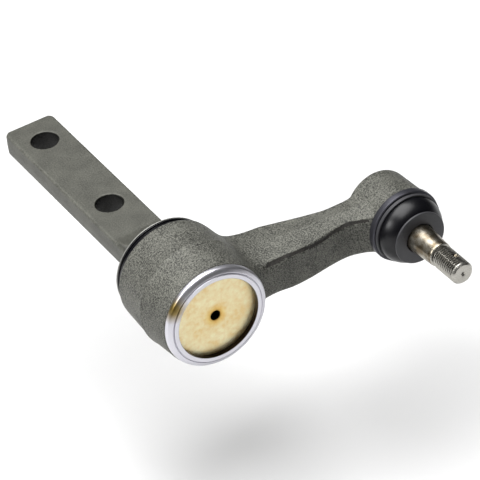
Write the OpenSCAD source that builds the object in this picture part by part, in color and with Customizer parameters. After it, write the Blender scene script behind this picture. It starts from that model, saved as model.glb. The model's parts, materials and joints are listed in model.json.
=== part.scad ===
// Steering idler arm: a forged frame bracket with a spindle, a forged arm that swings on it,
// and a ball stud in the arm's far end.
// Frame: origin midway between the two bolt holes on the bar's top face, +Z out of that face,
// +Y to the bar's free end, +X to the side that the arm points to.

/* [Frame bar] */
// Distance between the two frame bolt holes
hole_spacing = 76.2; // [60:0.1:95]
// Diameter of the frame bolt holes
hole_d = 16.3; // [12:0.1:20]
// Width of the bar at its top face
bar_w = 31.6; // [28:0.1:36]
// Thickness of the bar
bar_t = 13.6; // [12:0.1:18]
// Depth of the pivot axis below the bar's top face
pivot_drop = 7.6; // [6:0.1:9]
// Bar beyond the centre of the outer hole
bar_tip = 21; // [15:0.5:30]
// Radius of the bar's corners, seen from above
bar_corner_r = 4.5; // [2:0.5:8]
// Distance from the inner hole's centre to the flange's front face
bar_reach = 60.6; // [54:0.1:72]

/* [Flange and spindle] */
// How far the bracket's round flange stays inside the housing's outline
flange_inset = 3.9; // [2:0.1:5]
// Thickness of the flange's turned rim
flange_t = 1.6; // [1.2:0.1:4]
// Length of the ramp that carries the bar up to the flange
ramp_len = 28.6; // [22:0.2:36]
// Height of the ramp where it meets the flange
ramp_rise = 15.5; // [12:0.5:18]
// Angle of the crease where the ramp leaves the bar's face
ramp_crease = 13; // [0:1:20]
// Width of the ledge that the bar keeps beside the ramp
ramp_ledge = 1.5; // [0.5:0.1:4]
// Diameter of the spindle's rear journal
rear_journal_d = 30; // [26:0.2:32]
// Step in radius from the rear journal down to the front one
journal_step = 2; // [1:0.1:3]
// Step in radius from the front journal down to the threaded nose
nose_step = 4; // [3:0.1:5]
// Length of the rear journal
rear_journal_len = 20; // [18:0.2:23]
// Length of the front journal
front_journal_len = 15; // [13:0.2:17]

/* [Spindle nut] */
// Wall of the nut outside its thread
nut_wall = 4.5; // [3:0.1:6]
// Height of the nut
nut_h = 10; // [8:0.2:11]
// Width of the nut's slots
nut_slot_w = 3.8; // [3:0.1:4.5]
// Depth of the nut's slots
nut_slot_depth = 3.8; // [3:0.1:4.5]
// Diameter of the split pin
split_pin_d = 3; // [2:0.1:3.2]

/* [Housing] */
// Wall of the housing outside the rear bushing, at its parting plane
housing_wall = 15.5; // [13:0.1:19]
// Gap between the spindle's end and the cover's inner face
nose_gap = 2.5; // [2:0.1:6]
// Gap between the flange and the housing, closed by the seal
seal_gap = 4.4; // [3:0.1:5.5]
// Draft that narrows the housing from its parting plane to its front
housing_draft = 2; // [0.5:0.1:2.5]
// Draft that narrows the housing from its parting plane to its rear
rear_draft = 1.3; // [0.5:0.1:2.5]
// Step in radius from the housing's front end down to the turned shoulder
collar_step = 0.9; // [0.3:0.1:1.5]
// Width of the turned shoulder round the rolled rim
shoulder_w = 3.7; // [2.5:0.1:5]
// Height of the rolled rim above the shoulder's outer edge
rim_height = 2.4; // [1.6:0.1:4]
// Width of the rolled rim's flat face
rim_w = 2.05; // [1.5:0.05:3]
// Depth of the cover below the rim
cover_recess = 3.5; // [2.5:0.1:4.5]

/* [Pivot cover] */
// Thickness of the cover plate
cover_t = 2.4; // [1.8:0.1:3]
// Diameter of the grease fitting's hole in both covers
grease_hole_d = 5.6; // [5:0.1:8]

/* [Arm] */
// Distance from the pivot axis to the ball's centre
arm_len = 124; // [110:0.5:150]
// Height of the arm's flat front face
arm_h = 24; // [17:0.5:26]
// Distance from the ball's centre forward to the arm's front face at its root
arm_ahead = 3.2; // [1:0.1:5]
// Distance from the housing's rear face to the arm's back at its root
arm_root_back = 5.7; // [3:0.1:14]
// Width of the arm at its waist
arm_waist_w = 20.5; // [15:0.5:24]
// Radius that rounds the arm's long edges
arm_edge_r = 3; // [2:0.2:6]
// Radius of the fillet between the arm and the housing
root_fillet_r = 16; // [8:0.5:20]
// Radius of the fillet between the arm and the socket
tip_fillet_r = 20; // [10:0.5:26]
// Height that the arm's drafted top rises to at its parting line
arm_crown = 1.3; // [0.4:0.1:2.4]
// Height of the flash left along the parting line
flash_h = 0.4; // [0.2:0.1:0.8]

/* [Socket] */
// Distance from the flange's front face to the ball's centre
ball_s = 45.4; // [43:0.1:48]
// Angle by which the socket leans away from the pivot axis
socket_lean = 1; // [0:0.5:8]
// Diameter of the socket's forged boss
boss_d = 41.6; // [40:0.2:46]
// Length of the boss behind the ball's centre
boss_back = 22; // [21:0.1:25]
// Diameter of the turned lip at the socket's mouth
mouth_lip_d = 44; // [42:0.2:47]
// Distance from the ball's centre to the mouth
mouth_z = 8.8; // [7.6:0.1:10]

/* [Ball stud] */
// Diameter of the ball
ball_d = 24; // [22:0.2:25]
// Diameter of the stud's taper at its thick end
taper_big_d = 16.8; // [15.5:0.1:18]
// Length of the stud's taper that stands out of the boot
taper_len = 19.8; // [16:0.2:28]
// Taper of the stud, as the length over which its diameter falls by one
taper_ratio = 8; // [6:0.5:12]
// Diameter of the stud's thread
thread_d = 13.7; // [12:0.1:14.2]
// Length of the stud's thread
thread_len = 21.6; // [18:0.2:28]
// Diameter of the cross hole for a split pin
cross_hole_d = 3.4; // [2.5:0.1:4]
// Distance from the stud's end to the cross hole
cross_hole_back = 9.4; // [6:0.1:12]
// Turn of the cross hole about the stud
cross_hole_turn = 19; // [0:1:90]

/* [Boot] */
// Outer diameter of the boot's dome
boot_d = 40; // [38:0.2:43]
// Height of the boot above the socket's mouth
boot_h = 12.2; // [9:0.2:13]
// Wall of the boot
boot_wall = 1.8; // [1.2:0.1:2.4]
// Outer diameter of the ring at the boot's small end
lip_ring_d = 32; // [28:0.2:34]
// Thickness of the ring at the boot's small end
lip_ring_t = 1.5; // [1:0.1:2]

/* [Fits] */
// Radial running clearance of the spindle in its bushings
running_fit = 0.05; // [0.02:0.01:0.1]
// Clearance of the ball in its race
ball_fit = 0.1; // [0.05:0.01:0.2]
// Gap left between a piece that turns and the face that it runs on
end_play = 0.2; // [0.1:0.05:0.3]
// Radial clearance of pieces that are set into a bore
set_fit = 0.05; // [0.02:0.01:0.1]

/* [Hidden] */
$fn = 96;
eps = 0.01;

steel_grey = "#74756d";
forged_grey = "#7d7d74";
bright_steel = "#c8c8d0";
zinc_yellow = "#e8d9a0";
rubber_black = "#17171a";
ring_grey = "#3a3a3e";
bronze = "#a8814e";
race_white = "#d8d6cc";

// Places along the pivot axis, as a distance s from the flange's front face to the cover
flange_y = -(hole_spacing / 2 + bar_reach);
bar_end_y = hole_spacing / 2 + bar_tip;
bushing_wall = 3;
rear_journal_r = rear_journal_d / 2;
front_journal_r = rear_journal_r - journal_step;
nose_r = front_journal_r - nose_step;
nut_af = 2 * (nose_r + nut_wall);
rear_bore_r = rear_journal_r + bushing_wall;
front_bore_r = front_journal_r + bushing_wall;
housing_r = rear_bore_r + housing_wall;
housing_end_r = housing_r - housing_draft;
housing_rear_r = housing_r - rear_draft;
flange_r = housing_r - flange_inset;
collar_r = housing_end_r - collar_step;
rolled_r = collar_r - shoulder_w;
rim_opening_r = rolled_r - rim_w;
washer_t = 2.2;
bushing_flange_t = 2.1;
bushing_flange_s = washer_t + end_play;
rear_bushing_s = bushing_flange_s + bushing_flange_t;
shoulder_s = rear_journal_len + front_journal_len;
front_flange_s = shoulder_s - end_play - bushing_flange_t;
front_washer_t = 2.5;
spring_s = shoulder_s + front_washer_t;
disc_spring_h = 2.2;
nut_s = spring_s + disc_spring_h;
pin_s = nut_s + nut_h - nut_slot_depth / 2;
nose_end_s = nut_s + nut_h;
cover_seat_s = nose_end_s + nose_gap;
cover_face_s = cover_seat_s + cover_t;
rim_s = cover_face_s + cover_recess;
housing_len = rim_s - seal_gap;
arm_front_s = ball_s + arm_ahead;
cover_lap = 1.6;
cover_r = rim_opening_r + cover_lap;
chamber_r = cover_r - 3;
o_ring_r = 0.9;
o_ring_mid_r = (chamber_r + cover_r) / 2;
seal_out_r = flange_r - 1.9;
seal_in_r = seal_out_r - 4.6;
seal_depth = 3;
parting_s = seal_gap + 0.5 * housing_len;
collar_s = rim_s - rim_height;

// Places along the stud, as a distance z from the ball's centre
ball_r = ball_d / 2;
socket_bore_r = ball_r + 3.4;
race_front_z = 5.6;
race_back_z = -5;
seat_gap = 0.2;
seat_back_z = -(ball_r + 1.4);
seat_shoulder_z = -8.2;
neck_r = 7.6;
socket_cover_r = socket_bore_r + 2.4;
crimp_t = 1;
socket_cover_t = 1.7;
socket_cover_z = -(boss_back - crimp_t);
socket_floor_z = socket_cover_z + socket_cover_t;
boot_seat_r = mouth_lip_d / 2 - 3;
boot_seat_h = 2.6;
mouth_open_r = 12.6;
boot_r = boot_d / 2;
boot_top_z = mouth_z + boot_h;
lip_ring_z = boot_top_z;
lip_ring_in_r = taper_big_d / 2 + 0.3;
taper_z = lip_ring_z + lip_ring_t - 0.4;
taper_end_z = taper_z + taper_len;
taper_small_r = (taper_big_d - taper_len / taper_ratio) / 2;
stud_end_z = taper_end_z + thread_len;
spring_wire_r = 1;
spring_mid_r = socket_bore_r - 2 * spring_wire_r - 0.3 + spring_wire_r;
boss_r = boss_d / 2;
boss_draft = 0.7;
boss_draft_z = 2;

// Local z runs along the pivot axis from the flange's front face towards the cover
module on_pivot() {
    translate([0, flange_y, -pivot_drop]) rotate([90, 0, 0]) children();
}

// Local z runs out along the stud from the ball's centre, and local y points up
module on_socket() {
    translate([arm_len, flange_y - ball_s, -pivot_drop])
        rotate([0, 0, socket_lean]) rotate([90, 0, 0]) children();
}

// A plain ring between two radii, standing from z0 to z1
module ring(r_in, r_out, z0, z1) {
    translate([0, 0, z0]) difference() {
        cylinder(r = r_out, h = z1 - z0);
        translate([0, 0, -1]) cylinder(r = r_in, h = z1 - z0 + 2);
    }
}

// Outline of the bar from above, with rounded corners at its free end
module bar_plan() {
    half = bar_w / 2 + bar_side_draft;
    translate([-half, flange_y + 1]) square([2 * half, bar_end_y - bar_corner_r - flange_y - 1]);
    translate([-half + bar_corner_r, 0])
        square([2 * (half - bar_corner_r), bar_end_y]);
    for (side = [-1, 1])
        translate([side * (half - bar_corner_r), bar_end_y - bar_corner_r]) circle(r = bar_corner_r);
}

// Section of the bar: its sides are drafted from a parting line halfway down
bar_side_draft = 0.5;
bar_edge = 0.6;
module bar_section() {
    half = bar_w / 2;
    polygon([
        [-half + bar_edge, 0], [-half, -bar_edge],
        [-half - bar_side_draft, -bar_t / 2],
        [-half, -bar_t + bar_edge], [-half + bar_edge, -bar_t],
        [half - bar_edge, -bar_t], [half, -bar_t + bar_edge],
        [half + bar_side_draft, -bar_t / 2],
        [half, -bar_edge], [half - bar_edge, 0]
    ]);
}

module bar() {
    intersection() {
        translate([0, bar_end_y, 0]) rotate([90, 0, 0])
            linear_extrude(bar_end_y - flange_y) bar_section();
        translate([0, 0, -bar_t - 1]) linear_extrude(bar_t + 2) bar_plan();
    }
}

// Side view of one ramp: a concave arc that leaves the bar's face at a crease and climbs to the flange
module ramp_profile() {
    rise = ramp_rise;
    arc_r = (ramp_len * ramp_len + rise * rise)
        / (2 * (rise * cos(ramp_crease) - ramp_len * sin(ramp_crease)));
    difference() {
        translate([0, -bar_t / 2]) square([ramp_len, rise + bar_t / 2]);
        translate([ramp_len + arc_r * sin(ramp_crease), arc_r * cos(ramp_crease)])
            circle(r = arc_r, $fn = 180);
    }
}

// The ramps above and below the bar, kept inside the flange's outline
module ramps() {
    ramp_w = bar_w - 2 * ramp_ledge;
    intersection() {
        translate([-ramp_w / 2, flange_y, 0]) union() {
            rotate([90, 0, 90]) linear_extrude(ramp_w) ramp_profile();
            translate([0, 0, -bar_t]) mirror([0, 0, 1]) rotate([90, 0, 90])
                linear_extrude(ramp_w) ramp_profile();
        }
        on_pivot() translate([0, 0, -ramp_len - 5]) cylinder(r = flange_r - flange_back_inset, h = ramp_len + 5);
    }
}

// The round flange with a fillet of revolution behind it, and the stepped spindle
flange_fillet_r = 9;
flange_back_inset = 1.2;
module flange_and_spindle() {
    edge = 0.4;
    fillet_x = flange_r - flange_back_inset;
    on_pivot() difference() {
        rotate_extrude() difference() {
            polygon([
                [0, -flange_fillet_r - flange_t],
                [fillet_x - flange_fillet_r, -flange_fillet_r - flange_t],
                [fillet_x, -flange_t],
                [flange_r - edge, -flange_t], [flange_r, -flange_t + edge],
                [flange_r, -edge], [flange_r - edge, 0],
                [rear_journal_r, 0],
                [rear_journal_r, rear_journal_len],
                [front_journal_r, rear_journal_len + 1],
                [front_journal_r, shoulder_s],
                [nose_r - 1, shoulder_s], [nose_r - 1, shoulder_s + 1],
                [nose_r, shoulder_s + 2],
                [nose_r, nose_end_s - 1.2], [nose_r - 1.2, nose_end_s],
                [0, nose_end_s]
            ]);
            translate([fillet_x, -flange_fillet_r - flange_t]) circle(r = flange_fillet_r);
        }
        translate([0, 0, pin_s]) rotate([90, 0, 0])
            cylinder(r = split_pin_d / 2 + 0.15, h = 4 * nose_r, center = true, $fn = 48);
    }
}

module bracket() {
    color(steel_grey) difference() {
        union() {
            bar();
            ramps();
            flange_and_spindle();
        }
        for (end = [-1, 1])
            translate([0, end * hole_spacing / 2, -bar_t - 1]) cylinder(r = hole_d / 2, h = bar_t + 2);
    }
}

module rear_thrust_washer() {
    color(bright_steel) on_pivot()
        ring(rear_journal_r + running_fit, seal_in_r - 1.8, 0, washer_t);
}

module front_thrust_washer() {
    color(bright_steel) on_pivot()
        ring(nose_r + 2 * running_fit, chamber_r - 3, shoulder_s, spring_s);
}

// A coned spring washer, flat on the thrust washer and under the nut at its raised inner edge
module disc_spring() {
    thick = 1.4;
    out_r = chamber_r - 5.95;
    in_r = nose_r + 0.3;
    color(bright_steel) on_pivot() rotate_extrude() polygon([
        [out_r, spring_s], [out_r - 0.4, spring_s + thick],
        [in_r + 0.4, nut_s], [in_r, nut_s - thick]
    ]);
}

module spindle_nut() {
    corner_r = nut_af / sqrt(3);
    color(bright_steel) on_pivot() difference() {
        intersection() {
            translate([0, 0, nut_s]) cylinder(r = corner_r, h = nut_h, $fn = 6);
            rotate_extrude() polygon([
                [0, nut_s], [corner_r - 1.2, nut_s], [corner_r + 0.3, nut_s + 1.2],
                [corner_r + 0.3, nut_s + nut_h - 1.2], [corner_r - 1.2, nut_s + nut_h],
                [0, nut_s + nut_h]
            ]);
        }
        translate([0, 0, nut_s - 1]) cylinder(r = nose_r + set_fit, h = nut_h + 2);
        for (turn = [30:60:330])
            rotate(turn) translate([nose_r - 2, -nut_slot_w / 2, nut_s + nut_h - nut_slot_depth])
                cube([corner_r, nut_slot_w, nut_slot_depth + 1]);
    }
}

// A split pin through the nut's slots and the spindle's nose, with an eye and two bent legs
module nut_split_pin() {
    pin_r = split_pin_d / 2;
    half = nut_af / 2 + 1.5;
    eye_r = pin_r * 1.1;
    bend_r = 2.4;
    color(bright_steel) on_pivot() translate([0, 0, pin_s]) {
        rotate([90, 0, 0]) cylinder(r = pin_r, h = 2 * half, center = true, $fn = 32);
        translate([0, -half - eye_r + 0.6, 0]) rotate([0, 90, 0])
            rotate_extrude($fn = 32) translate([eye_r + 0.2, 0]) circle(r = pin_r * 0.62, $fn = 24);
        for (side = [-1, 1])
            translate([side * bend_r, half, 0]) mirror([side < 0 ? 0 : 1, 0, 0])
                rotate_extrude(angle = 80, $fn = 32)
                    translate([bend_r, 0]) circle(r = pin_r * 0.7, $fn = 24);
    }
}

// Outer form of the housing: a barrel drafted both ways from its parting plane, a turned
// shoulder at the front and the rolled rim that stands out of it
module housing_outer() {
    edge = 1;
    ridge_w = 0.5;
    shoulder_rise = 0.9;
    on_pivot() rotate_extrude($fn = 144) polygon([
        [0, seal_gap],
        [housing_rear_r - edge, seal_gap], [housing_rear_r, seal_gap + edge],
        [housing_r - 0.1, parting_s - 2 * ridge_w], [housing_r + flash_h, parting_s - ridge_w],
        [housing_r + flash_h, parting_s + ridge_w], [housing_r - 0.1, parting_s + 2 * ridge_w],
        [housing_end_r, collar_s - 2 * edge], [collar_r + 0.4, collar_s - 0.4 * edge],
        [collar_r, collar_s],
        [rolled_r + 0.2, collar_s + shoulder_rise], [rolled_r, collar_s + shoulder_rise + 0.2],
        [rolled_r, rim_s - 0.3], [rolled_r - 0.3, rim_s],
        [0, rim_s]
    ]);
}

// Everything bored out of the housing: the seal's recess, two bushing bores and the nut's chamber
module housing_bore() {
    on_pivot() {
        rotate_extrude() polygon([
            [0, seal_gap - 1],
            [seal_out_r, seal_gap - 1], [seal_out_r, seal_gap + seal_depth],
            [seal_in_r, seal_gap + seal_depth], [seal_in_r, rear_bushing_s],
            [rear_bore_r, rear_bushing_s], [rear_bore_r, rear_journal_len + 1],
            [front_bore_r, rear_journal_len + 1], [front_bore_r, front_flange_s],
            [chamber_r, front_flange_s], [chamber_r, cover_seat_s],
            [0, cover_seat_s]
        ]);
        translate([0, 0, cover_seat_s]) rotate_extrude()
            translate([o_ring_mid_r, -o_ring_r]) circle(r = o_ring_r + set_fit, $fn = 32);
        translate([0, 0, cover_seat_s - eps]) cylinder(r = cover_r + set_fit, h = cover_t + eps);
        translate([0, 0, cover_face_s - eps])
            cylinder(r = rim_opening_r, h = cover_recess + 1);
    }
}

// How far the arm's top stands out at x, with an arc into the housing and one into the boss.
// Both arcs meet a circle that lies one skin inside the drafted wall at the place s
skin = 0.7;
crown_run = 8;
function barrel_r(s) = housing_r - skin
    - (s > parting_s ? housing_draft : rear_draft) * min(abs(s - parting_s) / (housing_len / 2), 1);
function neck_boss_r(s) = boss_r - skin
    - boss_draft * min(max((ball_s - boss_draft_z - s) / (boss_back - boss_draft_z), 0), 1);
function arc_x(r, fillet) = sqrt(pow(r + fillet, 2) - pow(arm_h / 2 + fillet, 2));
function touch_x(r, fillet) = arc_x(r, fillet) * r / (r + fillet);
function arc_rise(r, t) = r - sqrt(r * r - pow(min(max(t, 0), 0.98 * r), 2));
function inside_circle(r, t) = sqrt(max(r * r - t * t, 1));
function half_height(x, s) =
    let (r = barrel_r(s), q = neck_boss_r(s), root = root_fillet_r, tip = tip_fillet_r, left = arm_len - x)
    x < touch_x(r, root) ? inside_circle(r, x)
    : left < touch_x(q, tip) ? inside_circle(q, left)
    : arm_h / 2 + arc_rise(root, arc_x(r, root) - x) + arc_rise(tip, arc_x(q, tip) - left);
function crown(x) = arm_crown * ease((x - touch_x(housing_r, root_fillet_r)) / crown_run)
    * ease((arm_len - touch_x(boss_r, tip_fillet_r) - x) / crown_run);

// The arm's plan: its width falls from the root to the waist and swells again at the socket.
// The front edge steps back by front_dip before the waist, then comes forward to the mouth
waist_x = 0.72 * arm_len;
dip_from_x = 0.45 * arm_len;
taper_from_x = 0.28 * arm_len;
swell_len = 0.2 * arm_len;
front_swell_len = arm_len - 10 - waist_x;
front_dip = 3.4;
front_swell = 6.5;
root_back_s = seal_gap + arm_root_back;
waist_front_s = arm_front_s - front_dip;
waist_back_s = waist_front_s - arm_waist_w;
socket_back_s = ball_s - boss_back + 1.5;
function ease(t) = let (u = min(max(t, 0), 1)) u * u * (3 - 2 * u);
function glide(t) = 0.75 * min(max(t, 0), 1) + 0.25 * ease(t);
function front_s(x) = arm_front_s - front_dip * ease((x - dip_from_x) / (waist_x - dip_from_x))
    + front_swell * ease((x - waist_x) / front_swell_len);
function back_s(x) = root_back_s
    + (waist_back_s - root_back_s) * glide((x - taper_from_x) / (waist_x - taper_from_x))
    + (socket_back_s - waist_back_s) * ease((x - waist_x) / swell_len);
function mid_s(x) = (front_s(x) + back_s(x)) / 2;

// One section of the arm, as points [s, height], rounded at its four long edges
edge_steps = 4;
function corner(s0, h0, r, from) = [for (i = [0:edge_steps])
    let (a = from + 90 * i / edge_steps) [s0 + r * cos(a), h0 + r * sin(a)]];
flash_half_w = 0.7;
function arm_section(x) =
    let (f = front_s(x), b = back_s(x), m = mid_s(x), r = arm_edge_r, w = flash_half_w,
         hf = half_height(x, f) - r, hb = half_height(x, b) - r,
         top = half_height(x, m) + crown(x))
    concat(
        corner(f - r, hf, r, 0),
        [[m + w, top], [m, top + flash_h], [m - w, top]],
        corner(b + r, hb, r, 90),
        corner(b + r, -hb, r, 180),
        [[m - w, -top], [m, -top - flash_h], [m + w, -top]],
        corner(f - r, -hf, r, 270)
    );

// The arm itself, as a skin over its sections from inside the housing to inside the boss
loft_from = 0.42 * housing_r;
loft_to = arm_len - 0.43 * boss_r;
loft_steps = 30;
module arm_loft() {
    xs = [for (i = [0:loft_steps]) loft_from + (loft_to - loft_from) * i / loft_steps];
    rings = [for (x = xs) arm_section(x)];
    n = len(rings[0]);
    points = [for (i = [0:loft_steps]) for (p = rings[i]) [xs[i], flange_y - p[0], p[1] - pivot_drop]];
    sides = [for (i = [0:loft_steps - 1]) for (j = [0:n - 1])
        let (a = i * n + j, b = i * n + (j + 1) % n) each [[a, b, b + n], [a, b + n, a + n]]];
    first = [for (j = [n - 1:-1:0]) j];
    last = [for (j = [0:n - 1]) loft_steps * n + j];
    polyhedron(points = points, faces = concat([first], sides, [last]), convexity = 4);
}

// Outer form of the socket: a drafted forged boss, a turned lip and the neck that takes the boot
module socket_outer() {
    back = -boss_back;
    on_socket() rotate_extrude($fn = 128) polygon([
        [0, back],
        [boss_r - boss_draft - 1.5, back], [boss_r - boss_draft - 0.5, back + 0.5],
        [boss_r - boss_draft, back + 1.6],
        [boss_r, -boss_draft_z], [boss_r + 0.1, mouth_z - 5],
        [mouth_lip_d / 2 - 0.3, mouth_z - 4.6], [mouth_lip_d / 2, mouth_z - 4.2],
        [mouth_lip_d / 2, mouth_z - 0.6], [mouth_lip_d / 2 - 0.6, mouth_z],
        [boot_seat_r, mouth_z], [boot_seat_r, mouth_z + boot_seat_h],
        [0, mouth_z + boot_seat_h]
    ]);
}

// Everything bored out of the socket, from the crimped rear cover to the flared mouth
module socket_bore() {
    on_socket() rotate_extrude() polygon([
        [0, -boss_back - 1],
        [socket_cover_r - 1, -boss_back - 1], [socket_cover_r - 1, socket_cover_z],
        [socket_cover_r + set_fit, socket_cover_z], [socket_cover_r + set_fit, socket_floor_z],
        [socket_bore_r, socket_floor_z], [socket_bore_r, race_front_z],
        [mouth_open_r, race_front_z], [mouth_open_r, mouth_z],
        [mouth_open_r + 2.4, mouth_z + boot_seat_h + 1],
        [0, mouth_z + boot_seat_h + 1]
    ]);
}

module arm_forging() {
    color(forged_grey) difference() {
        union() {
            housing_outer();
            socket_outer();
            arm_loft();
        }
        housing_bore();
        socket_bore();
    }
}

// A rubber ring set in the housing's rear recess, with a lip that fills the gap to the flange
module rear_seal() {
    color(rubber_black) on_pivot() rotate_extrude() polygon([
        [seal_in_r + set_fit, seal_gap], [seal_in_r + set_fit, seal_gap + seal_depth],
        [seal_out_r - set_fit, seal_gap + seal_depth], [seal_out_r - set_fit, seal_gap],
        [flange_r - 0.9, seal_gap], [flange_r - 0.7, seal_gap / 2], [flange_r - 1.1, 0.3],
        [seal_out_r - 2, 0.3], [seal_in_r + 1, seal_gap - 0.6]
    ]);
}

// A plain bushing with a thrust flange; z0 is the flange's running face, z1 the far end
module flanged_bushing(in_r, out_r, flange_out_r, flange_z, sleeve_z, far_z) {
    rotate_extrude() polygon([
        [in_r, flange_z], [flange_out_r, flange_z], [flange_out_r, sleeve_z],
        [out_r, sleeve_z], [out_r, far_z], [in_r, far_z]
    ]);
}

module rear_bushing() {
    color(bronze) on_pivot() flanged_bushing(
        rear_journal_r + running_fit, rear_bore_r, seal_in_r - 0.3,
        bushing_flange_s, rear_bushing_s, rear_journal_len - 0.5);
}

module front_bushing() {
    color(bronze) on_pivot() flanged_bushing(
        front_journal_r + running_fit, front_bore_r, chamber_r - 2.4,
        shoulder_s - end_play, front_flange_s, rear_journal_len + 2);
}

module cover_o_ring() {
    color(rubber_black) on_pivot() translate([0, 0, cover_seat_s])
        rotate_extrude() translate([o_ring_mid_r, -o_ring_r]) circle(r = o_ring_r, $fn = 32);
}

// The round cover plate under the rolled rim, with a collar inside for the grease fitting
module pivot_cover() {
    collar_h = 1.6;
    color(zinc_yellow) on_pivot() difference() {
        rotate_extrude($fn = 128) polygon([
            [0, cover_seat_s - collar_h],
            [grease_hole_d / 2 + 2, cover_seat_s - collar_h], [grease_hole_d / 2 + 2.6, cover_seat_s],
            [cover_r, cover_seat_s], [cover_r, cover_face_s],
            [0, cover_face_s]
        ]);
        translate([0, 0, cover_seat_s - collar_h - 1])
            cylinder(r = grease_hole_d / 2, h = cover_t + collar_h + 2, $fn = 48);
    }
}

module ball_race() {
    color(race_white) on_socket() difference() {
        ring(4, socket_bore_r, race_back_z, race_front_z);
        sphere(r = ball_r + ball_fit, $fn = 96);
    }
}

// A cup behind the ball, stepped so that the spring fits round its back
module pressure_seat() {
    color(race_white) on_socket() difference() {
        rotate_extrude() polygon([
            [0, seat_back_z],
            [spring_mid_r - spring_wire_r - 0.4, seat_back_z],
            [spring_mid_r - spring_wire_r - 0.4, seat_shoulder_z],
            [socket_bore_r - 0.3, seat_shoulder_z],
            [socket_bore_r - 0.3, race_back_z - seat_gap],
            [0, race_back_z - seat_gap]
        ]);
        sphere(r = ball_r + ball_fit, $fn = 96);
        translate([0, 0, seat_back_z - 1]) cylinder(r = 2, h = 6, $fn = 32);
    }
}

// A coil of round wire between the seat's shoulder and the rear cover
spring_turns = 2.25;
spring_sides = 10;
module preload_spring() {
    per_turn = 24;
    steps = ceil(spring_turns * per_turn);
    z0 = seat_shoulder_z - spring_wire_r - 0.05;
    z1 = socket_floor_z + spring_wire_r + 0.05;
    points = [for (i = [0:steps]) for (j = [0:spring_sides - 1])
        let (a = 360 * spring_turns * i / steps, b = 360 * j / spring_sides,
             r = spring_mid_r + spring_wire_r * cos(b))
        [r * cos(a), r * sin(a), z0 + (z1 - z0) * i / steps + spring_wire_r * sin(b)]];
    n = spring_sides;
    sides = [for (i = [0:steps - 1]) for (j = [0:n - 1])
        let (a = i * n + j, b = i * n + (j + 1) % n) each [[a, b, b + n], [a, b + n, a + n]]];
    first = [for (j = [n - 1:-1:0]) j];
    last = [for (j = [0:n - 1]) steps * n + j];
    color(bright_steel) on_socket()
        polyhedron(points = points, faces = concat([first], sides, [last]), convexity = 6);
}

// The plate crimped into the socket's rear, with its own grease hole
module socket_cover() {
    collar_h = 1.8;
    color(zinc_yellow) on_socket() difference() {
        rotate_extrude() polygon([
            [0, socket_cover_z], [socket_cover_r, socket_cover_z], [socket_cover_r, socket_floor_z],
            [grease_hole_d / 2 + 2.6, socket_floor_z],
            [grease_hole_d / 2 + 2, socket_floor_z + collar_h], [0, socket_floor_z + collar_h]
        ]);
        translate([0, 0, socket_cover_z - 1])
            cylinder(r = grease_hole_d / 2, h = socket_cover_t + collar_h + 2, $fn = 48);
    }
}

// The rubber boot: a bead on the socket's neck, a dome with two rolls, and a small end
module dust_boot() {
    seat = mouth_z + 0.3;
    bead_top = mouth_z + boot_seat_h;
    color(rubber_black) on_socket() rotate_extrude($fn = 96) polygon([
        [boot_seat_r + set_fit, seat], [boot_seat_r + 0.9, seat], [boot_seat_r + 0.9, bead_top],
        [boot_r - 0.4, bead_top + 0.4], [boot_r, bead_top + 1.4], [boot_r - 0.3, bead_top + 2.8],
        [boot_r - 1.3, bead_top + 4], [boot_r - 2.1, bead_top + 4.6],
        [boot_r - 1.9, bead_top + 5.4], [boot_r - 2.2, bead_top + 6.6],
        [boot_r - 3.2, bead_top + 7.8], [lip_ring_d / 2 - 0.3, boot_top_z],
        [lip_ring_in_r + 0.4, boot_top_z],
        [lip_ring_in_r + 0.4, boot_top_z - boot_wall],
        [boot_r - 3.9 - boot_wall, boot_top_z - boot_wall],
        [boot_r - 2.4 - boot_wall, bead_top + 4],
        [boot_r - boot_wall, bead_top + 1.4],
        [boot_seat_r + set_fit, bead_top + 0.4]
    ]);
}

module boot_band() {
    color(ring_grey) on_socket()
        ring(boot_seat_r + 0.95, boot_seat_r + 1.9, mouth_z + 0.4, mouth_z + boot_seat_h - 0.2);
}

module boot_lip_ring() {
    color(ring_grey) on_socket()
        ring(lip_ring_in_r, lip_ring_d / 2, lip_ring_z + 0.02, lip_ring_z + lip_ring_t);
}

// The ball and its stud, turned in one piece: neck, taper, undercut and threaded end.
// The turning starts at a line that lies clear of the cross hole
hole_from_start = 37.5;
module ball_stud() {
    color(bright_steel) on_socket() difference() {
        rotate([0, 0, hole_from_start - cross_hole_turn]) rotate_extrude() union() {
            intersection() {
                circle(r = ball_r, $fn = 128);
                translate([0, -ball_r]) square([ball_r, 2 * ball_r]);
            }
            polygon([
                [0, 0], [neck_r, 0], [neck_r, ball_r + 2],
                [taper_big_d / 2 - 0.4, taper_z - 1.6], [taper_big_d / 2, taper_z - 0.8],
                [taper_big_d / 2, taper_z],
                [taper_small_r, taper_end_z],
                [thread_d / 2 - 0.9, taper_end_z + 0.5],
                [thread_d / 2 - 0.9, taper_end_z + 1.2], [thread_d / 2, taper_end_z + 2.1],
                [thread_d / 2, stud_end_z - 1.2], [thread_d / 2 - 1.2, stud_end_z],
                [1.3, stud_end_z], [0, stud_end_z - 1.3]
            ]);
        }
        translate([0, 0, stud_end_z - cross_hole_back]) rotate([0, 0, -cross_hole_turn])
            rotate([90, 0, 0]) cylinder(r = cross_hole_d / 2, h = 2 * thread_d, center = true, $fn = 48);
    }
}

bracket();
rear_thrust_washer();
front_thrust_washer();
disc_spring();
spindle_nut();
nut_split_pin();
arm_forging();
rear_seal();
rear_bushing();
front_bushing();
cover_o_ring();
pivot_cover();
ball_race();
pressure_seat();
preload_spring();
socket_cover();
dust_boot();
boot_band();
boot_lip_ring();
ball_stud();
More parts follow.
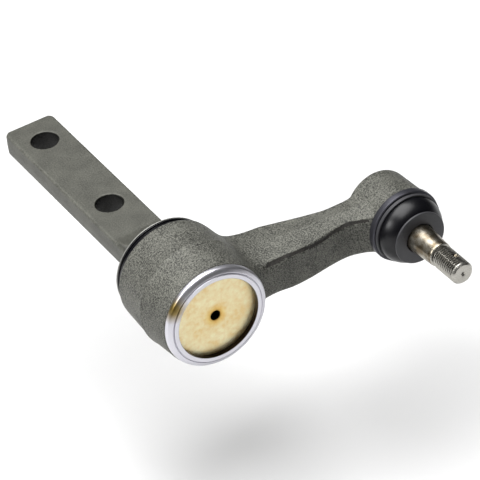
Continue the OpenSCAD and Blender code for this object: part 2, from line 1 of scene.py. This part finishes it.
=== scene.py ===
# %% [markdown]
# # A steering idler arm
# A frame bracket with a spindle, a forged arm that swings on it, and a booted ball stud.
# The solids fix every size. This lesson gives them the skin of the real part: shot-blasted
# forgings, turned bright edges, a yellow-chromated cover, a glossy boot and a cut thread.

# %% Load the part
import json
import math

import bmesh
import bpy
import numpy as np
from mathutils import Matrix, Vector


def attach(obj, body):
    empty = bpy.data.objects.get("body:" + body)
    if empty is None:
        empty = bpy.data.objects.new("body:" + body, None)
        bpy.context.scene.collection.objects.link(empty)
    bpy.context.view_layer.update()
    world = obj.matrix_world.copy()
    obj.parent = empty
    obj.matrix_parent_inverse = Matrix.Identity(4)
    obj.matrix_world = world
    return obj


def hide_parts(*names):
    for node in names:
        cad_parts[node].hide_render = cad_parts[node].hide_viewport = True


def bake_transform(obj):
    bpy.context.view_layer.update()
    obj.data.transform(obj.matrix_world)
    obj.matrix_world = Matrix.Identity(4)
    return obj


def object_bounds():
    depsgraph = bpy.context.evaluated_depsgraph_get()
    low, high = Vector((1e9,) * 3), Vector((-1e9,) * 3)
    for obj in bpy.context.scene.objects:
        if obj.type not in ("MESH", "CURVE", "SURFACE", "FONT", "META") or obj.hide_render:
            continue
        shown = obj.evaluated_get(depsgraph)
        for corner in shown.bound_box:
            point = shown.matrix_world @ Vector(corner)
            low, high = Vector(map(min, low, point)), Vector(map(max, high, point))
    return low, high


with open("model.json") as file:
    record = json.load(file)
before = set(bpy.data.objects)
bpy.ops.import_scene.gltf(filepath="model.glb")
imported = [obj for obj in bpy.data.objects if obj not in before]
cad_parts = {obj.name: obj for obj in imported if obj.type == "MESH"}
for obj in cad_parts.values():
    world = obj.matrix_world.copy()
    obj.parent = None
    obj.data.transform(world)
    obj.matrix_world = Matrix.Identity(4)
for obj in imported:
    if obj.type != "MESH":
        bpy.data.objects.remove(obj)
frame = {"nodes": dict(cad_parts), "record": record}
start_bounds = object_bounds()
nodes = frame["nodes"]
scene = bpy.context.scene

# %% [markdown]
# A few places of the solids are needed again and again, in metres: the height of the pivot's
# and the stud's axes, the flange's front face, the ball's centre, and how far the two bolt
# holes lie from the origin between them.

# %% Places in the part
AXIS_Z = -0.0076
FLANGE_Y = -0.0987
BALL = (0.124, -0.1441, AXIS_Z)
HOLE_Y = 0.0381

# %% [markdown]
# The camera stands about two metres off with a long lens, as product photos are taken, so
# that near and far ends keep nearly the same scale. It is rolled a little, which sets the
# bar running down from the upper left. The standard view transform keeps a white table as
# white as catalogue paper.

# %% The camera
AIM = Vector((0.04839, -0.0981, -0.01344))
RIGHT = Vector((0.8506, -0.5155, -0.1030))
UP = Vector((0.3876, 0.4827, 0.7854))
BACK = Vector((-0.3552, -0.7080, 0.6104))
DISTANCE = 2.0
lens = bpy.data.cameras.new("long_lens")
lens.lens = 268.95
lens.sensor_width = 36
lens.clip_end = 20
camera = bpy.data.objects.new("camera", lens)
scene.collection.objects.link(camera)
facing_aim = Matrix((RIGHT, UP, BACK)).transposed().to_4x4()
camera.matrix_world = Matrix.Translation(AIM + DISTANCE * BACK) @ facing_aim
scene.camera = camera
scene.view_settings.view_transform = "Standard"

# %% [markdown]
# Shop photos of steel parts are lit from above with wide soft boxes over a white table, so
# that every turned edge picks up one long clean highlight and the faces towards the lens
# stay dark. The room is bright overhead and dim at the horizon for the same reason. The part
# hangs from its frame, so the table lies low enough for the arm to swing down over it.


# %% Floor and lights
def add(owner, kind, **inputs):
    """A node of a kind, with its sockets set or joined. A name such as _2 is input number 2."""
    node = owner.node_tree.nodes.new(kind)
    for name, value in inputs.items():
        socket = node.inputs[int(name[1:]) if name[1:].isdigit() else name.replace("_", " ")]
        if isinstance(value, bpy.types.NodeSocket):
            owner.node_tree.links.new(value, socket)
        else:
            socket.default_value = value
    return node


def join(owner, output, target):
    owner.node_tree.links.new(output, target)


def soft_box(name, at, aim, size, power):
    """A square lamp at a place in metres, turned to face another place."""
    data = bpy.data.lights.new(name, "AREA")
    data.energy = power
    data.size = size
    lamp = bpy.data.objects.new(name, data)
    lamp.location = at
    lamp.rotation_euler = (Vector(aim) - Vector(at)).to_track_quat("-Z", "Y").to_euler()
    scene.collection.objects.link(lamp)


world = bpy.data.worlds.new("studio")
scene.world = world
world.use_nodes = True
way = add(world, "ShaderNodeTexCoord").outputs["Generated"]
height = add(world, "ShaderNodeSeparateXYZ", Vector=way).outputs["Z"]
sky = add(world, "ShaderNodeMapRange", Value=height, _1=0.0, _2=0.9, _3=0.1, _4=1.0)
join(world, sky.outputs["Result"], world.node_tree.nodes["Background"].inputs["Strength"])
soft_box("overhead", (-0.15, 0.3, 2.3), (0.03, -0.08, 0), 2.4, 120)
soft_box("left_box", (-1.3, 0.0, 0.8), (0.0, -0.1, 0), 0.6, 11)

TABLE_DROP = 0.085
TABLE_HALF = 6
floor_z = start_bounds[0].z - TABLE_DROP
corners = [(x * TABLE_HALF, y * TABLE_HALF, floor_z)
           for x, y in ((-1, -1), (1, -1), (1, 1), (-1, 1))]
floor_mesh = bpy.data.meshes.new("table")
floor_mesh.from_pydata(corners, [], [(0, 1, 2, 3)])
floor = bpy.data.objects.new("table", floor_mesh)
scene.collection.objects.link(floor)

# %% [markdown]
# ## Finishes
# Each finish is a small network. Colours are given as sRGB hex, as one would pick them from
# a swatch, and turned to linear light by one function. Patterns are sized in millimetres:
# the part is in metres, so a grain of one millimetre is a scale of 1000.


# %% Helpers for finishes
def linear(hex_colour):
    """An sRGB hex colour as linear RGBA."""
    parts = [int(hex_colour[i:i + 2], 16) / 255 for i in (1, 3, 5)]
    return [p / 12.92 if p <= 0.04045 else ((p + 0.055) / 1.055) ** 2.4 for p in parts] + [1.0]


def new_finish(name, colour, metallic, roughness):
    """A material with its shader's constants set, and that shader."""
    material = bpy.data.materials.new(name)
    material.use_nodes = True
    shader = material.node_tree.nodes["Principled BSDF"]
    shader.inputs["Base Color"].default_value = linear(colour)
    shader.inputs["Metallic"].default_value = metallic
    shader.inputs["Roughness"].default_value = roughness
    return material, shader


def mm(size):
    """The scale of a pattern whose features are this many millimetres wide."""
    return 1000 / size


def grain(material, shader, sizes, depth, colours=None, roughness=None, spread=0.14, blotch=0.15):
    """Noise at two sizes that lifts the surface, tints it and changes how it shines.

    The sizes and the depth are in mm. A small spread gives a hard contrast, and blotch is the
    coarse grain's share of the tint.
    """
    place = add(material, "ShaderNodeTexCoord").outputs["Object"]
    coarse = add(material, "ShaderNodeTexNoise", Vector=place, Scale=mm(sizes[0]), Detail=3.0)
    fine = add(material, "ShaderNodeTexNoise", Vector=place, Scale=mm(sizes[1]), Detail=3.0)
    bump = add(material, "ShaderNodeBump", Height=fine.outputs["Fac"],
               Distance=depth / 1000, Strength=1.0)
    join(material, bump.outputs["Normal"], shader.inputs["Normal"])
    if colours:
        mixed = add(material, "ShaderNodeMix", _0=blotch,
                    _2=fine.outputs["Fac"], _3=coarse.outputs["Fac"])
        ramp = add(material, "ShaderNodeValToRGB", Fac=mixed.outputs[0])
        ramp.color_ramp.elements[0].position = 0.5 - spread
        ramp.color_ramp.elements[0].color = linear(colours[0])
        ramp.color_ramp.elements[1].position = 0.5 + spread
        ramp.color_ramp.elements[1].color = linear(colours[1])
        join(material, ramp.outputs["Color"], shader.inputs["Base Color"])
    if roughness:
        dull = add(material, "ShaderNodeMapRange", Value=fine.outputs["Fac"],
                   _1=0.3, _2=0.7, _3=roughness[0], _4=roughness[1])
        join(material, dull.outputs["Result"], shader.inputs["Roughness"])
    return place


def away_from(material, place, centre, keep=(1, 1, 1)):
    """How far a point is from a centre in metres, along the directions that are kept."""
    flat = add(material, "ShaderNodeVectorMath", _0=place, _1=keep)
    flat.operation = "MULTIPLY"
    away = add(material, "ShaderNodeVectorMath", _0=flat.outputs[0], _1=centre)
    away.operation = "DISTANCE"
    return away.outputs["Value"]


def bands(material, shader, value, over, stops):
    """Colours multiplied into the base colour, by stops given in the value's own unit."""
    share = add(material, "ShaderNodeMapRange", Value=value, _1=0.0, _2=over)
    ramp = add(material, "ShaderNodeValToRGB", Fac=share.outputs["Result"])
    elements = ramp.color_ramp.elements
    elements[0].color = linear(stops[0][1])
    elements[1].color = linear(stops[-1][1])
    for at, colour in stops[1:]:
        elements.new(at / over).color = linear(colour)
    base = shader.inputs["Base Color"]
    tint = add(material, "ShaderNodeMix", _0=1.0,
               _6=tuple(base.default_value), _7=ramp.outputs["Color"])
    tint.data_type = "RGBA"
    tint.blend_type = "MULTIPLY"
    if base.is_linked:
        join(material, base.links[0].from_socket, tint.inputs[6])
    join(material, tint.outputs[2], base)


# %% [markdown]
# Every finish is named for the real one or for the shade it paints, and its comment says what
# it gives the eye. Its numbers are the sizes and depth of its grain, its two tints and its range
# of gloss.

# %% Steel, plate, rubber and plastic
# Shot-blasted forging: grey-green steel pitted all over in a grain well under a millimetre,
# so that it sparkles where it faces the light and turns nearly black where it faces away
forged, shader = new_finish("forged_steel", "#62625b", 0.35, 0.55)
grain(forged, shader, (12, 0.8), 0.4, ("#272723", "#76766e"), (0.44, 0.68), spread=0.12)

# The furrow of the trim line: the same steel, nearly black, a painted shade in the furrow
furrow_shade, shader = new_finish("furrow_shade", "#2a2825", 0.2, 0.7)
grain(furrow_shade, shader, (6, 1.0), 0.2, ("#1f1e1c", "#3a3733"), spread=0.15)

# The bar is smoother: the same grey with its pits rubbed down by the dies and by handling,
# lighter along its convex edges, and with painted shade in its hollows and down the walls
# of its two bolt holes
bar_steel, shader = new_finish("bar_steel", "#62625b", 0.35, 0.55)
place = grain(bar_steel, shader, (12, 0.9), 0.22, ("#4b4b45", "#74746b"), (0.46, 0.62),
              spread=0.16, blotch=0.35)
# Pointiness lightens the convex edges and darkens the hollows: the darkening is painted shade
edge_light_hollow_shade = add(bar_steel, "ShaderNodeNewGeometry").outputs["Pointiness"]
bands(bar_steel, shader, edge_light_hollow_shade, 1.0, [
    (0, "#a0a0a0"), (0.47, "#a0a0a0"), (0.5, "#d6d6d6"), (0.56, "#ffffff")])
# Painted shade down the walls of the two bolt holes
for y in (-HOLE_Y, HOLE_Y):
    hole_wall_shade = away_from(bar_steel, place, (0, y, 0), (1, 1, 0))
    bands(bar_steel, shader, hole_wall_shade, 0.04, [
        (0, "#50504c"), (0.0083, "#50504c"), (0.0087, "#ffffff")])

# Turned bright steel: long thin rings from the tool, seen as a soft cross-grained sheen
bright, shader = new_finish("bright_steel", "#cfcfd6", 1.0, 0.3)
grain(bright, shader, (4, 0.25), 0.012, roughness=(0.22, 0.38))

# The rim's turned face: the same steel, with the straw stain at its left that plating
# left behind, and its recess wall painted dark brown as shade
rim_steel, shader = new_finish("rim_steel", "#d2d1d8", 0.9, 0.34)
place = grain(rim_steel, shader, (4, 0.25), 0.012, roughness=(0.28, 0.42))
off_axis = away_from(rim_steel, place, (0, 0, AXIS_Z), (1, 0, 1))
# Painted shade: dark brown on the recess wall inside the rim
bands(rim_steel, shader, off_axis, 0.04, [
    (0, "#3a2c18"), (0.0249, "#3a2c18"), (0.0251, "#ffffff")])
STAIN = (-0.0250, -0.1545, 0.0100)
from_stain = away_from(rim_steel, place, STAIN)
bands(rim_steel, shader, from_stain, 0.02, [
    (0, "#9a8038"), (0.003, "#b8a266"), (0.009, "#ffffff")])

# The socket's lip: turned too, but oiled, and dark grey as a painted shade from the boot
lip_steel, shader = new_finish("lip_steel", "#414147", 0.7, 0.45)
grain(lip_steel, shader, (4, 0.3), 0.02, roughness=(0.36, 0.5))

# The flange's turned edge: cut dry, duller than the rim
edge_steel, shader = new_finish("edge_steel", "#8c8c87", 0.6, 0.5)
grain(edge_steel, shader, (4, 0.3), 0.02, roughness=(0.4, 0.52))

# Yellow-chromated plate: pale straw that drifts between a warmer and a greener tone, deepest
# in a halo round the grease hole, whose own wall is painted black as shade
zinc, shader = new_finish("zinc_plate", "#ecdca4", 0.75, 0.4)
place = grain(zinc, shader, (9, 3), 0.01, ("#e2c890", "#efe6be"), (0.32, 0.48),
              spread=0.12, blotch=0.5)
off_axis = away_from(zinc, place, (0, 0, AXIS_Z), (1, 0, 1))
# Painted shade: black down the grease hole's wall, then the straw halo round it
bands(zinc, shader, off_axis, 0.04, [
    (0, "#08080a"), (0.0029, "#0a0a0a"), (0.0032, "#d8b878"), (0.0045, "#f6e2b0"),
    (0.008, "#ffffff")])

# Boot rubber: nearly black, smooth from the mould, with a cool glossy highlight
rubber, shader = new_finish("boot_rubber", "#09090d", 0.0, 0.32)
shader.inputs["Specular IOR Level"].default_value = 0.35
grain(rubber, shader, (5, 0.8), 0.01)

# The ring in the boot's small end: dull dark grey
ring_grey, shader = new_finish("ring_grey", "#39393c", 0.1, 0.5)
grain(ring_grey, shader, (3, 0.5), 0.02)

# The stud's own steel: turned and a little warm, with brown blotches painted in as a reflection
# of the parts round it
stud_steel, shader = new_finish("stud_steel", "#8f887a", 1.0, 0.3)
grain(stud_steel, shader, (5, 0.3), 0.012, ("#6f6350", "#a8a397"), (0.24, 0.4),
      spread=0.12, blotch=0.8)

# The thread's crests and the stud's end: cut later than the taper, cleaner and greyer, and
# lighter, which on the crests is a painted highlight
thread_steel, shader = new_finish("thread_steel", "#b4b2aa", 0.95, 0.32)
grain(thread_steel, shader, (3, 0.4), 0.03, ("#98958c", "#c8c6c0"), (0.26, 0.42), spread=0.2)

# The bottom of the thread and of the groove behind it: dark, a painted shade
thread_root_shade, shader = new_finish("thread_root_shade", "#26241f", 0.6, 0.5)
grain(thread_root_shade, shader, (5, 0.5), 0.02, ("#1c1a17", "#35322b"), spread=0.2)

# Sintered bronze bushings
bronze, shader = new_finish("bushing_bronze", "#a8814e", 1.0, 0.4)
grain(bronze, shader, (3, 0.4), 0.02, roughness=(0.34, 0.5))

# Acetal race and seat: waxy off-white
race, shader = new_finish("race_plastic", "#d8d6cc", 0.0, 0.45)
grain(race, shader, (5, 1.0), 0.01)

# The white table, dull so that it throws soft light back and shows no mirror of the part
table, shader = new_finish("white_table", "#dadada", 0.0, 0.9)
floor.data.materials.append(table)

finish_of = {
    "bar_steel": bar_steel, "forged_steel": forged, "bright_steel": bright, "zinc_plate": zinc,
    "boot_rubber": rubber, "ring_grey": ring_grey, "bushing_bronze": bronze, "race_plastic": race,
}
for part in frame["record"]["subparts"]:
    mesh = nodes[part["node"]].data
    mesh.materials.clear()
    mesh.materials.append(finish_of[part["material_slot"]])
print("finishes:", ", ".join(finish_of))

# %% [markdown]
# ## Shapes
# Two axes place nearly everything: the pivot, which runs towards the lens from the flange,
# and the stud, which leans one degree from it. A distance along either is called s.

# %% Two places to turn from
QUARTER_TURN = Matrix.Rotation(math.radians(90), 4, "X")
STUD_LEAN = math.radians(1)
PIVOT = Matrix.Translation((0, FLANGE_Y, AXIS_Z)) @ QUARTER_TURN
SOCKET = Matrix.Translation(BALL) @ Matrix.Rotation(STUD_LEAN, 4, "Z") @ QUARTER_TURN


def softened(profile, radius, cuts=3):
    """A closed outline with each corner drawn round, never using more than 0.4 of an edge."""
    out = []
    count = len(profile)
    for i, here in enumerate(profile):
        a, b, c = Vector(profile[i - 1]), Vector(here), Vector(profile[(i + 1) % count])
        if b.x < 1e-6:
            out.append(tuple(b))
            continue
        near = b + (a - b) * min(radius / max((a - b).length, 1e-9), 0.4)
        far = b + (c - b) * min(radius / max((c - b).length, 1e-9), 0.4)
        for k in range(cuts + 1):
            t = k / cuts
            out.append(tuple((1 - t) ** 2 * near + 2 * t * (1 - t) * b + t * t * far))
    return out


def turned(name, profile, place, finish, steps=144):
    """A solid of revolution from a closed outline of (radius, distance) points in mm."""
    piece = bmesh.new()
    ring = [piece.verts.new(place @ Vector((r / 1000, 0, s / 1000))) for r, s in profile]
    edges = [piece.edges.new((ring[i - 1], ring[i])) for i in range(len(ring))
             if not (profile[i - 1][0] < 1e-6 and profile[i][0] < 1e-6)]
    axis = place.to_3x3() @ Vector((0, 0, 1))
    bmesh.ops.spin(piece, geom=ring + edges, cent=place.translation, axis=axis,
                   angle=math.tau, steps=steps, use_merge=True)
    bmesh.ops.remove_doubles(piece, verts=piece.verts, dist=1e-6)
    bmesh.ops.recalc_face_normals(piece, faces=piece.faces)
    return finished(name, piece, finish)


def finished(name, piece, finish):
    """A bmesh as an object at the origin, smooth apart from its sharp edges, in one finish."""
    mesh = bpy.data.meshes.new(name)
    piece.to_mesh(mesh)
    piece.free()
    mesh.materials.append(finish)
    shape = bpy.data.objects.new(name, mesh)
    scene.collection.objects.link(shape)
    mesh.shade_smooth()
    mesh.set_sharp_from_angle(angle=math.radians(34))
    print(name, len(mesh.polygons), "faces")
    return shape


# %% [markdown]
# A forging has no crisp edge that the machine tool didn't cut. The skin of the solid is
# wrapped again in small even cells and relaxed until the joins between arm, housing and
# socket flow together. What the lathe cut is taken away first by plain cylinders, and comes
# back later as crisp turned rings.


# %% Re-skin a solid as a forging
def rod(radius, low, high):
    """The outline of a plain cylinder."""
    return [(0, low), (radius, low), (radius, high), (0, high)]


def cut_away(shape, tool):
    """A modifier that takes a tool out of a shape."""
    cut = shape.modifiers.new("cut", "BOOLEAN")
    cut.operation = "DIFFERENCE"
    cut.solver = "EXACT"
    cut.object = tool


def baked(name, shape, tools):
    """A new object with a shape's modifiers applied. The shape and its tools are removed."""
    graph = bpy.context.evaluated_depsgraph_get()
    mesh = bpy.data.meshes.new_from_object(shape.evaluated_get(graph))
    for spent in [shape] + tools:
        bpy.data.objects.remove(spent)
    mesh.name = name
    result = bpy.data.objects.new(name, mesh)
    scene.collection.objects.link(result)
    return result


def forging(name, node, cell, cuts, relax, finish, sides=96):
    """A copy of a node, cut by plain cylinders (place, radius, from, to), wrapped and relaxed."""
    copy = bmesh.new()
    copy.from_mesh(nodes[node].data)
    bmesh.ops.remove_doubles(copy, verts=copy.verts, dist=1e-6)
    mesh = bpy.data.meshes.new(name + " raw")
    copy.to_mesh(mesh)
    copy.free()
    raw = bpy.data.objects.new(name + " raw", mesh)
    scene.collection.objects.link(raw)
    tools = []
    for place, radius, low, high in cuts:
        tool = turned("cutter", rod(radius, low, high), place, finish, sides)
        cut_away(raw, tool)
        tools.append(tool)
    wrap = raw.modifiers.new("wrap", "REMESH")
    wrap.mode = "VOXEL"
    wrap.voxel_size = cell / 1000
    soften = raw.modifiers.new("relax", "SMOOTH")
    soften.factor = 0.5
    soften.iterations = relax
    shape = baked(name, raw, tools)
    skin = shape.data
    skin.materials.clear()
    skin.materials.append(finish)
    skin.shade_smooth()
    print(name, len(skin.polygons), "faces")
    return shape


LATHE_CUTS = [(PIVOT, 36, 53.8, 63), (SOCKET, 30, 4.4, 14)]
arm = forging("forged_arm", "arm_forging", 0.7, LATHE_CUTS, 4, forged)
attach(arm, "arm")
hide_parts("arm_forging")
bracket = forging("frame_bracket", "bracket", 0.7, [], 5, bar_steel)
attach(bracket, "bracket")
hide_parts("bracket")

# %% [markdown]
# The flange's edge was turned, so it shows as one thin light line. Its front corner is a
# thin black rubber ring, a painted shade, and the seal's lip is raised nearly as high as the
# flange, partly the real seal and partly painted shade, so that the gap before the housing
# reads as a black band.

# %% The flange's edge and the seal
flange_rim = turned("flange_rim", softened([
    (28.2, -2.1), (29.4, -2.1), (29.8, -1.8), (29.8, -1.2), (29.6, -1.0), (28.2, -1.0),
], 0.2), PIVOT, edge_steel)
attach(flange_rim, "bracket")
# Painted shade: a black rubber ring on the flange's front corner, where the gap is in shadow
flange_gap_shade = turned("flange_gap_shade", softened([
    (28.2, -1.0), (29.66, -1.0), (29.68, -0.2), (29.45, 0.05), (28.2, 0.05),
], 0.1), PIVOT, rubber)
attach(flange_gap_shade, "bracket")

# The real seal, its lip raised to the flange's height so its black rubber is painted shade in the
# gap
seal = turned("seal_and_gap_shade", softened([
    (23.15, 4.45), (23.15, 7.35), (27.6, 7.35), (27.6, 4.42), (29.4, 4.36), (29.45, 2.4),
    (29.3, 0.6), (29.0, 0.35), (26.0, 0.35), (24.1, 3.8),
], 0.2), PIVOT, rubber)
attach(seal, "arm")
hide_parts("rear_seal")

# %% [markdown]
# Where the arm leaves the housing the metal flowed in a wide sweep, so that corner is eased
# further than the rest. Along the arm's front edge runs the line where the dies' flash was
# sheared off: a low lip with a shallow furrow under it, never quite straight. The faces deep
# in the furrow are painted nearly black as shade.


# %% The arm's root and its trim line
def per_vertex(skin, what):
    """One property of every vertex, as rows of three."""
    values = np.empty(len(skin.vertices) * 3)
    skin.vertices.foreach_get(what, values)
    return values.reshape(-1, 3)


def eased(skin, share, passes):
    """Moves each vertex towards the mean of its neighbours, by its own share."""
    at = per_vertex(skin, "co")
    ends = np.empty(len(skin.edges) * 2, dtype=np.int32)
    skin.edges.foreach_get("vertices", ends)
    a, b = ends.reshape(-1, 2).T
    count = len(skin.vertices)
    neighbours = np.bincount(ends, minlength=count)
    for _ in range(passes):
        for axis in range(3):
            here = at[:, axis]
            total = np.bincount(a, here[b], count) + np.bincount(b, here[a], count)
            at[:, axis] = here + 0.5 * share * (total / neighbours - here)
    skin.vertices.foreach_set("co", at.ravel())
    skin.update()
    return at


def fade(value, full, none):
    """One up to full, none beyond none, and a soft slope between."""
    t = np.clip((none - value) / (none - full), 0, 1)
    return t * t * (3 - 2 * t)


ROOT_X = 0.0365
LINE_X = 0.071
LINE_Z = 0.0026
FURROW_DEPTH, FURROW_HALF = 0.0006, 0.0009
LIP_HEIGHT, LIP_ABOVE, LIP_HALF = 0.0003, 0.0016, 0.0006
DARK_FROM = 0.42
skin = arm.data
from_root = np.abs(per_vertex(skin, "co")[:, 0] - ROOT_X)
at = eased(skin, fade(from_root, 0.006, 0.017), 90)

facing = per_vertex(skin, "normal")[:, 1]
front = fade(facing, -0.5, -0.15) * fade(np.abs(at[:, 0] - LINE_X), 0.030, 0.036)
wander = 0.0006 * np.sin(at[:, 0] * 150) + 0.00015 * np.sin(at[:, 0] * 620 + 1)
above = at[:, 2] - LINE_Z - wander
furrow = front * np.exp(-(above / FURROW_HALF) ** 2)
ridge = front * np.exp(-((above - LIP_ABOVE) / LIP_HALF) ** 2)
at[:, 1] += FURROW_DEPTH * furrow - LIP_HEIGHT * ridge
skin.vertices.foreach_set("co", at.ravel())
skin.update()
skin.materials.append(furrow_shade)
# Faces deep in the furrow get the nearly black furrow finish: painted shade
for face in skin.polygons:
    face.material_index = 1 if np.mean(furrow[list(face.vertices)]) > DARK_FROM else 0
print("trim line:", sum(face.material_index for face in skin.polygons), "faces")

# %% [markdown]
# The front of the housing was faced and bored in a lathe after forging, then its rim was
# rolled in over the cover. Those cuts stay crisp and bright beside the grey skin.

# %% The turned collar and the rolled rim
collar = turned("turned_collar", softened([
    (24.85, 54.7), (24.85, 58.1), (27.3, 58.1), (27.45, 57.9), (27.5, 57.0), (27.9, 57.0),
    (28.0, 57.5), (28.4, 57.65), (30.2, 56.7), (30.9, 55.9), (31.1, 54.8), (31.1, 53.4),
    (26.6, 53.4), (26.6, 54.7),
], 0.25), PIVOT, rim_steel)
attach(collar, "arm")

# %% [markdown]
# The socket's mouth was turned as well. Its lip holds the boot's bead, and it is darker than
# the rim because it is oiled and because its colour carries a painted shade from the boot.

# %% The socket's lip
lip = turned("socket_lip", softened([
    (12.7, 5.8), (12.7, 8.8), (15.0, 11.4), (19.0, 11.4), (19.0, 8.8), (21.4, 8.8), (22.0, 8.2),
    (22.0, 4.7), (21.5, 4.2), (20.0, 4.0), (15.5, 4.0), (15.5, 5.8),
], 0.3), SOCKET, lip_steel)
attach(lip, "arm")

# %% [markdown]
# The cover is a disc punched from sheet, with a small chamfer round its grease hole.

# %% The cover
cover = turned("cover_plate", softened([
    (2.8, 50.6), (2.8, 54.15), (3.15, 54.6), (26.3, 54.6), (26.45, 54.4), (26.45, 52.2),
    (5.4, 52.2), (4.8, 50.6),
], 0.2), PIVOT, zinc)
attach(cover, "arm")
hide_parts("pivot_cover")

# %% [markdown]
# The boot is moulded as a dome with one shallow fold near its bead, so that it can follow
# the stud. The bead sits in the socket's lip, and the small end grips the ring on the stud.


# %% The boot and its ring
def smooth_line(points, steps=5):
    """A curve through (radius, distance) points."""
    out = []
    for i in range(len(points) - 1):
        a = Vector(points[max(i - 1, 0)])
        b, c = Vector(points[i]), Vector(points[i + 1])
        d = Vector(points[min(i + 2, len(points) - 1)])
        for k in range(steps):
            t = k / steps
            out.append(tuple(0.5 * (2 * b + (c - a) * t + (2 * a - 5 * b + 4 * c - d) * t * t
                                    + (3 * b - a - 3 * c + d) * t ** 3)))
    return out + [tuple(points[-1])]


outside = smooth_line([
    (19.1, 9.2), (19.9, 9.3), (20.0, 10.4), (19.7, 11.1), (19.9, 12.0), (19.8, 13.6), (19.3, 15.4),
    (18.6, 17.0), (17.7, 18.6), (16.7, 19.9), (15.7, 20.8), (14.6, 21.0),
])
inside = smooth_line([
    (8.9, 21.0), (8.9, 19.3), (13.6, 19.2), (15.4, 18.2), (16.3, 16.8), (17.2, 15.4), (18.1, 13.4),
    (18.0, 11.9), (19.1, 11.6),
])
boot = turned("boot", outside + inside, SOCKET, rubber)
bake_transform(boot)
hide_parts("dust_boot")

ring = turned("boot_ring", softened([
    (8.7, 21.02), (8.7, 22.5), (16.0, 22.5), (16.0, 21.02),
], 0.5), SOCKET, ring_grey)
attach(ring, "stud_swing")
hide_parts("boot_lip_ring")

# %% [markdown]
# The stud is turned from bar: ball, neck, taper, a relief groove and a thread cut with a
# 1.6 mm pitch. The thread is drawn as a lathe grid whose radius follows the helix, so it
# starts and fades as a cut thread does: its crests rise out of the relief groove over the
# first millimetre, and the cut runs out over the last 0.8 mm.

# %% The stud with its thread
PITCH = 1.6
THREAD = (44.0, 62.3)
THREAD_DEPTH = 0.92
TAPER_END = 41.9
BALL_R = 12
ball_curve = [(BALL_R * math.sin(a), -BALL_R * math.cos(a))
              for a in np.linspace(0, math.radians(140.7), 40)]
plain = ball_curve + [(7.6, 9.5), (7.6, 14.0), (7.9, 18.5), (8.3, 20.4), (8.4, 21.2), (8.4, 22.1)]
plain += [(8.4 - (s - 22.1) / 16, s) for s in np.linspace(23, TAPER_END - 0.3, 20)]
plain += [(7.0, TAPER_END + 0.05), (5.95, TAPER_END + 0.4), (5.95, TAPER_END + 1.3)]
rows = plain + [(6.85, s) for s in np.arange(THREAD[0] - 0.6, THREAD[1] + 0.01, PITCH / 12)]
rows += [(6.6, 62.5), (5.65, 63.5), (1.5, 63.5), (1.3, 63.4), (0.0, 62.2)]
AROUND = 96
stud = bmesh.new()
grid = []
for r, s in rows:
    level = []
    for k in range(AROUND):
        turn = k / AROUND
        radius = r
        if THREAD[0] - 0.7 < s <= THREAD[1]:
            phase = (s / PITCH - turn) % 1
            crest = min(max(abs(phase - 0.5) * 2.5 - 0.2, 0), 1)
            full = min(max(s - THREAD[0] + 0.6, 0), 1) * min(max((THREAD[1] - s) / 0.8, 0), 1)
            relief = 1 - full * crest if s < THREAD[0] + 0.4 else full * (1 - crest)
            radius = r - THREAD_DEPTH * relief
        angle = turn * math.tau
        level.append(stud.verts.new(SOCKET @ Vector((
            radius / 1000 * math.cos(angle), radius / 1000 * math.sin(angle), s / 1000))))
    grid.append(level)
# Deep faces of the thread and groove get painted shade, crests and the end the lighter steel
for (r, s), low, high in zip(rows, grid, grid[1:]):
    for k in range(AROUND):
        face = stud.faces.new((low[k], low[(k + 1) % AROUND], high[(k + 1) % AROUND], high[k]))
        middle = SOCKET.inverted() @ face.calc_center_median()
        if s > TAPER_END - 0.1:
            face.material_index = 1 if s < THREAD[1] and middle.xy.length < 0.0063 else 2
bmesh.ops.remove_doubles(stud, verts=stud.verts, dist=1e-6)
bmesh.ops.recalc_face_normals(stud, faces=stud.faces)
solid = finished("turned_stud", stud, stud_steel)
solid.data.materials.append(thread_root_shade)
solid.data.materials.append(thread_steel)

# %% [markdown]
# The hole for the split pin is drilled across the finished thread. In the photo it is
# turned 19 degrees from upright.

# %% The cross hole
CROSS_HOLE_AT = 0.0541
CROSS_HOLE_R = 1.7
CROSS_HOLE_TURN = math.radians(-19)
across = (SOCKET @ Matrix.Translation((0, 0, CROSS_HOLE_AT))
          @ Matrix.Rotation(CROSS_HOLE_TURN, 4, "Z") @ QUARTER_TURN)
drill = turned("drill", rod(CROSS_HOLE_R, -9, 9), across, stud_steel, 32)
cut_away(solid, drill)
stud = baked("threaded_stud", solid, [drill])
print("threaded_stud", len(stud.data.polygons), "faces")
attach(stud, "stud")
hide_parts("ball_stud")
